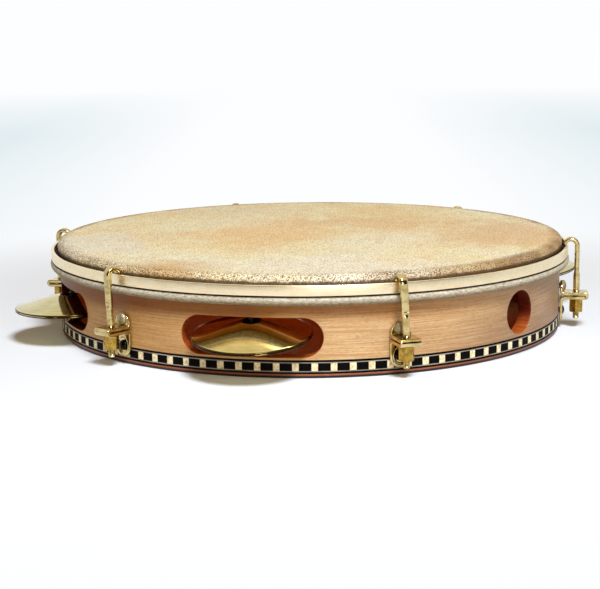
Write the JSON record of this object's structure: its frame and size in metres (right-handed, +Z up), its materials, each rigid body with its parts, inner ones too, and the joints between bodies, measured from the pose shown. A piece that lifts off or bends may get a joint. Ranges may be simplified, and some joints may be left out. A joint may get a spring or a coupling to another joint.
{
  "type": "pandeiro frame drum",
  "caption": "Shallow round frame drum with a skin head, hook-and-nut tension hardware, and an inlaid wooden ring with slotted jingles and a thumb hole.",
  "frame": {"origin": "centre of the wooden ring's bottom plane, on which the drum rests", "axes": "+Z up through the skin, +X through hook 1; seen from above, the thumb hole is 30 degrees clockwise from +X"},
  "size_m": [0.283, 0.3027, 0.0458],
  "materials": {
    "ring_wood": "fine straight-grained beech with a thin satin lacquer outside and dark red stained slot and hole walls and inside",
    "inlay_veneer": "black and cream veneer squares between black lines, satin lacquer",
    "goat_skin": "natural goat skin, matt, mottled cream and tan with dark hair pores, grey and suede-like where it is lapped",
    "flesh_hoop_wire": "plain drawn wire",
    "hoop_brass": "brass plated, polished",
    "hardware_brass": "brass plated steel, polished",
    "nut_brass": "turned brass",
    "rivet_metal": "pale domed rivet",
    "pin_steel": "plain wire nail",
    "jingle_brass": "spun sheet brass, bright with fine turning marks",
    "damper_brass": "flat stamped sheet, dull"
  },
  "bodies": {
    "drum": {"shell": "ring_wood", "inlay_band": "inlay_veneer", "flesh_hoop": "flesh_hoop_wire", "skin": "goat_skin", "counter_hoop": "hoop_brass", "bracket_1": "hardware_brass", "bracket_2": "hardware_brass", "bracket_3": "hardware_brass", "bracket_4": "hardware_brass", "bracket_5": "hardware_brass", "bracket_6": "hardware_brass", "rivet_upper_1": "rivet_metal", "rivet_upper_2": "rivet_metal", "rivet_upper_3": "rivet_metal", "rivet_upper_4": "rivet_metal", "rivet_upper_5": "rivet_metal", "rivet_upper_6": "rivet_metal", "rivet_lower_1": "rivet_metal", "rivet_lower_2": "rivet_metal", "rivet_lower_3": "rivet_metal", "rivet_lower_4": "rivet_metal", "rivet_lower_5": "rivet_metal", "rivet_lower_6": "rivet_metal", "pin_1": "pin_steel", "pin_2": "pin_steel", "pin_3": "pin_steel", "pin_4": "pin_steel", "pin_5": "pin_steel"},
    "tension_hook_1": {"hook_1": "hardware_brass"},
    "tension_hook_2": {"hook_2": "hardware_brass"},
    "tension_hook_3": {"hook_3": "hardware_brass"},
    "tension_hook_4": {"hook_4": "hardware_brass"},
    "tension_hook_5": {"hook_5": "hardware_brass"},
    "tension_hook_6": {"hook_6": "hardware_brass"},
    "tension_nut_1": {"nut_1": "nut_brass"},
    "tension_nut_2": {"nut_2": "nut_brass"},
    "tension_nut_3": {"nut_3": "nut_brass"},
    "tension_nut_4": {"nut_4": "nut_brass"},
    "tension_nut_5": {"nut_5": "nut_brass"},
    "tension_nut_6": {"nut_6": "nut_brass"},
    "lower_cup_1": {"jingle_lower_1": "jingle_brass"},
    "lower_cup_2": {"jingle_lower_2": "jingle_brass"},
    "lower_cup_3": {"jingle_lower_3": "jingle_brass"},
    "lower_cup_4": {"jingle_lower_4": "jingle_brass"},
    "lower_cup_5": {"jingle_lower_5": "jingle_brass"},
    "damper_disc_1": {"damper_1": "damper_brass"},
    "damper_disc_2": {"damper_2": "damper_brass"},
    "damper_disc_3": {"damper_3": "damper_brass"},
    "damper_disc_4": {"damper_4": "damper_brass"},
    "damper_disc_5": {"damper_5": "damper_brass"},
    "upper_cup_1": {"jingle_upper_1": "jingle_brass"},
    "upper_cup_2": {"jingle_upper_2": "jingle_brass"},
    "upper_cup_3": {"jingle_upper_3": "jingle_brass"},
    "upper_cup_4": {"jingle_upper_4": "jingle_brass"},
    "upper_cup_5": {"jingle_upper_5": "jingle_brass"}
  },
  "joints": [
    {"name": "nut_1_turn", "type": "hinge", "parent": "drum", "child": "tension_nut_1", "pos_m": [0.1354, 0, 0.0117], "axis": [0, 0, 1], "range_deg": [-1441, 1]},
    {"name": "nut_2_turn", "type": "hinge", "parent": "drum", "child": "tension_nut_2", "pos_m": [0.0677, 0.11726, 0.0117], "axis": [0, 0, 1], "range_deg": [-1441, 1]},
    {"name": "nut_3_turn", "type": "hinge", "parent": "drum", "child": "tension_nut_3", "pos_m": [-0.0677, 0.11726, 0.0117], "axis": [0, 0, 1], "range_deg": [-1441, 1]},
    {"name": "nut_4_turn", "type": "hinge", "parent": "drum", "child": "tension_nut_4", "pos_m": [-0.1354, 0, 0.0117], "axis": [0, 0, 1], "range_deg": [-1441, 1]},
    {"name": "nut_5_turn", "type": "hinge", "parent": "drum", "child": "tension_nut_5", "pos_m": [-0.06872, -0.11667, 0.0117], "axis": [0, 0, 1], "range_deg": [-1441, 1]},
    {"name": "nut_6_turn", "type": "hinge", "parent": "drum", "child": "tension_nut_6", "pos_m": [0.06523, -0.11865, 0.0117], "axis": [0, 0, 1], "range_deg": [-1441, 1]},
    {"name": "hook_1_rise", "type": "slide", "parent": "drum", "child": "tension_hook_1", "axis": [0, 0, 1], "range_m": [0, 0.00254]},
    {"name": "hook_2_rise", "type": "slide", "parent": "drum", "child": "tension_hook_2", "axis": [0, 0, 1], "range_m": [0, 0.00254]},
    {"name": "hook_3_rise", "type": "slide", "parent": "drum", "child": "tension_hook_3", "axis": [0, 0, 1], "range_m": [0, 0.00254]},
    {"name": "hook_4_rise", "type": "slide", "parent": "drum", "child": "tension_hook_4", "axis": [0, 0, 1], "range_m": [0, 0.00254]},
    {"name": "hook_5_rise", "type": "slide", "parent": "drum", "child": "tension_hook_5", "axis": [0, 0, 1], "range_m": [0, 0.00254]},
    {"name": "hook_6_rise", "type": "slide", "parent": "drum", "child": "tension_hook_6", "axis": [0, 0, 1], "range_m": [0, 0.00254]},
    {"name": "jingles_1_rock", "type": "hinge", "parent": "drum", "child": "lower_cup_1", "pos_m": [0.10817, 0.06245, 0.01833], "axis": [-0.5, 0.866, 0], "range_deg": [-2, 14]},
    {"name": "jingles_2_rock", "type": "hinge", "parent": "drum", "child": "lower_cup_2", "pos_m": [0, 0.1249, 0.01664], "axis": [-1, 0, 0], "range_deg": [-9.2, 6.8]},
    {"name": "jingles_3_rock", "type": "hinge", "parent": "drum", "child": "lower_cup_3", "pos_m": [-0.10817, 0.06245, 0.01664], "axis": [-0.5, -0.866, 0], "range_deg": [-9.2, 6.8]},
    {"name": "jingles_4_rock", "type": "hinge", "parent": "drum", "child": "lower_cup_4", "pos_m": [-0.1074, -0.06377, 0.01664], "axis": [0.5105, -0.8599, 0], "range_deg": [-9.2, 6.8]},
    {"name": "jingles_5_rock", "type": "hinge", "parent": "drum", "child": "lower_cup_5", "pos_m": [-0.00245, -0.12498, 0.01889], "axis": [0.9997, -0.0244, 0], "range_deg": [-15.2, 0.8]},
    {"name": "damper_1_spin", "type": "hinge", "parent": "lower_cup_1", "child": "damper_disc_1", "pos_m": [0.10817, 0.06245, 0.01833], "axis": [-0.0905, -0.0523, 0.9945], "continuous": true},
    {"name": "damper_2_spin", "type": "hinge", "parent": "lower_cup_2", "child": "damper_disc_2", "pos_m": [0, 0.1249, 0.01664], "axis": [0, 0.0209, 0.9998], "continuous": true},
    {"name": "damper_3_spin", "type": "hinge", "parent": "lower_cup_3", "child": "damper_disc_3", "pos_m": [-0.10817, 0.06245, 0.01664], "axis": [-0.0181, 0.0105, 0.9998], "continuous": true},
    {"name": "damper_4_spin", "type": "hinge", "parent": "lower_cup_4", "child": "damper_disc_4", "pos_m": [-0.1074, -0.06377, 0.01664], "axis": [-0.018, -0.0107, 0.9998], "continuous": true},
    {"name": "damper_5_spin", "type": "hinge", "parent": "lower_cup_5", "child": "damper_disc_5", "pos_m": [-0.00245, -0.12498, 0.01889], "axis": [-0.0031, -0.1253, 0.9921], "continuous": true},
    {"name": "upper_cup_1_lift", "type": "slide", "parent": "lower_cup_1", "child": "upper_cup_1", "axis": [-0.0905, -0.0523, 0.9945], "range_m": [0, 0.0012]},
    {"name": "upper_cup_2_lift", "type": "slide", "parent": "lower_cup_2", "child": "upper_cup_2", "axis": [0, 0.0209, 0.9998], "range_m": [0, 0.002]},
    {"name": "upper_cup_3_lift", "type": "slide", "parent": "lower_cup_3", "child": "upper_cup_3", "axis": [-0.0181, 0.0105, 0.9998], "range_m": [0, 0.002]},
    {"name": "upper_cup_4_lift", "type": "slide", "parent": "lower_cup_4", "child": "upper_cup_4", "axis": [-0.018, -0.0107, 0.9998], "range_m": [0, 0.002]},
    {"name": "upper_cup_5_lift", "type": "slide", "parent": "lower_cup_5", "child": "upper_cup_5", "axis": [-0.0031, -0.1253, 0.9921], "range_m": [0, 0.0005]}
  ],
  "couplings": [
    {"joint": "nut_1_turn", "follows": "hook_1_rise", "rad_per_m": -9894.8},
    {"joint": "nut_2_turn", "follows": "hook_2_rise", "rad_per_m": -9894.8},
    {"joint": "nut_3_turn", "follows": "hook_3_rise", "rad_per_m": -9894.8},
    {"joint": "nut_4_turn", "follows": "hook_4_rise", "rad_per_m": -9894.8},
    {"joint": "nut_5_turn", "follows": "hook_5_rise", "rad_per_m": -9894.8},
    {"joint": "nut_6_turn", "follows": "hook_6_rise", "rad_per_m": -9894.8}
  ]
}
